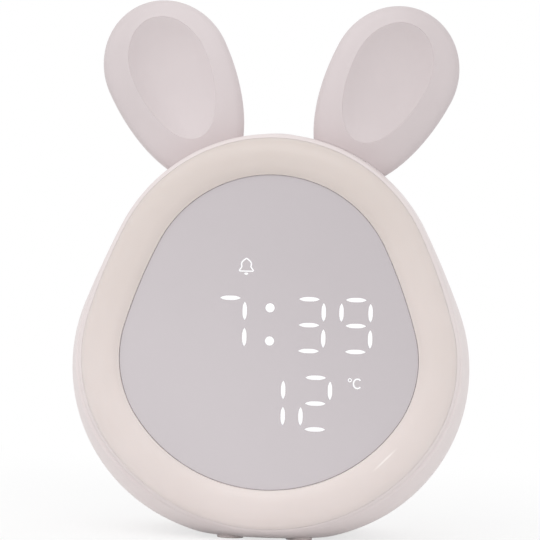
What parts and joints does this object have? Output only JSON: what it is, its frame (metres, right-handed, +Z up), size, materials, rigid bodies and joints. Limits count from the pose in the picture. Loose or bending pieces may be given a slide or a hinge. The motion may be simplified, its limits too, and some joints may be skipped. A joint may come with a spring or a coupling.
{
  "type": "alarm clock with night light",
  "caption": "Rabbit-eared bedside alarm clock with a half-mirror digital display in a glowing ring, a snooze button on top, and setting buttons, speaker and charging socket behind.",
  "frame": {"origin": "middle of the clock's footprint, on the surface that it stands on", "axes": "+Z up, +X to the right as seen from the front, -Y towards the person who reads the display"},
  "size_m": [0.1218, 0.0608, 0.1639],
  "materials": {
    "shell": "pale pink-grey moulded plastic with a soft satin texture",
    "ear_silicone": "soft matt silicone in the shells' colour",
    "ring_milk": "milky light-diffusing plastic, half gloss, glows when the night light is on",
    "half_mirror": "grey half-mirror coated acrylic, through which the digits shine",
    "inner_white": "plain white moulding",
    "light_guide": "clear white light guide",
    "led": "warm white light-emitting diode with a yellow phosphor",
    "circuit_board": "green solder mask",
    "black_plastic": "black moulding",
    "ribbon": "flat grey ribbon cable",
    "speaker_paper": "pressed paper cone",
    "battery_wrap": "silver-grey shrink wrap",
    "foam": "dark foam tape",
    "foot_rubber": "pale grey rubber",
    "steel": "plain bright steel"
  },
  "bodies": {
    "clock": {"front_shell": "shell", "rear_shell": "shell", "front_frame": "inner_white", "light_ring": "ring_milk", "display_window": "half_mirror", "window_tape": "foam", "glow_board": "inner_white", "glow_leds": "led", "digit_block": "black_plastic", "light_bars": "light_guide", "main_board": "circuit_board", "control_chip": "black_plastic", "ribbon_socket": "inner_white", "ribbon_cable": "ribbon", "left_ear": "ear_silicone", "right_ear": "ear_silicone", "snooze_board": "circuit_board", "snooze_switch": "black_plastic", "key_board": "circuit_board", "key_switches": "black_plastic", "speaker_basket": "black_plastic", "speaker_cone": "speaker_paper", "speaker_magnet": "steel", "charge_board": "circuit_board", "usb_socket": "steel", "power_switch": "steel", "battery": "battery_wrap", "battery_pad": "foam", "foot_pads": "foot_rubber", "case_screws": "steel", "board_screws": "steel"},
    "snooze_key": {"snooze_button": "shell"},
    "set_key": {"set_button": "shell"},
    "down_key": {"down_button": "shell"},
    "up_key": {"up_button": "shell"},
    "alarm_key": {"alarm_button": "shell"},
    "power_key": {"power_slider": "shell", "switch_lever": "black_plastic"}
  },
  "joints": [
    {"name": "snooze_press", "type": "slide", "parent": "clock", "child": "snooze_key", "axis": [0, -0.1392, -0.9903], "range_m": [0, 0.001], "stiffness_N_per_m": 800},
    {"name": "set_press", "type": "slide", "parent": "clock", "child": "set_key", "axis": [0, -1, 0], "range_m": [0, 0.0008], "stiffness_N_per_m": 1000},
    {"name": "down_press", "type": "slide", "parent": "clock", "child": "down_key", "axis": [0, -1, 0], "range_m": [0, 0.0008], "stiffness_N_per_m": 1000},
    {"name": "up_press", "type": "slide", "parent": "clock", "child": "up_key", "axis": [0, -1, 0], "range_m": [0, 0.0008], "stiffness_N_per_m": 1000},
    {"name": "alarm_press", "type": "slide", "parent": "clock", "child": "alarm_key", "axis": [0, -1, 0], "range_m": [0, 0.0008], "stiffness_N_per_m": 1000},
    {"name": "power_slide", "type": "slide", "parent": "clock", "child": "power_key", "axis": [1, 0, 0], "range_m": [0, 0.002]}
  ]
}
